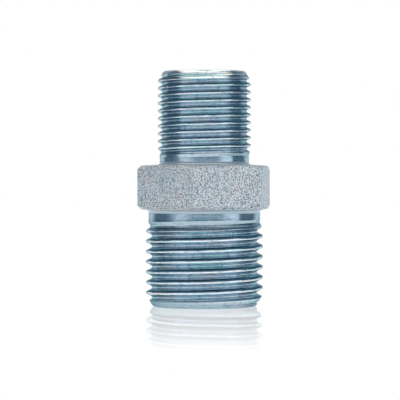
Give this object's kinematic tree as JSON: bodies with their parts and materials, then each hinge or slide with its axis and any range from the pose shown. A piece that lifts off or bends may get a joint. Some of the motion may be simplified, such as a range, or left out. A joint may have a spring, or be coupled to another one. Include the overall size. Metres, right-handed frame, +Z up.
{
  "type": "hex nipple",
  "caption": "Reducing hex nipple: a short steel pipe connector with a wrench hexagon between a larger and a smaller male parallel pipe thread, bored through.",
  "frame": {"origin": "centre of the large end's face, on the fitting's axis, which is what it stands on", "axes": "+Z up the axis from the large end to the small end; +X through a corner of the hexagon; +Y out of a flat"},
  "size_m": [0.0254, 0.022, 0.0415],
  "materials": {
    "bright_zinc_plate": "rolled and turned steel with bright blue-white zinc plate",
    "blasted_zinc_plate": "shot-blasted forged steel with blue-white zinc plate, fine matt grain"
  },
  "bodies": {
    "root": {"large_threaded_end": "bright_zinc_plate", "hex_collar": "blasted_zinc_plate", "small_threaded_end": "bright_zinc_plate"}
  },
  "joints": []
}
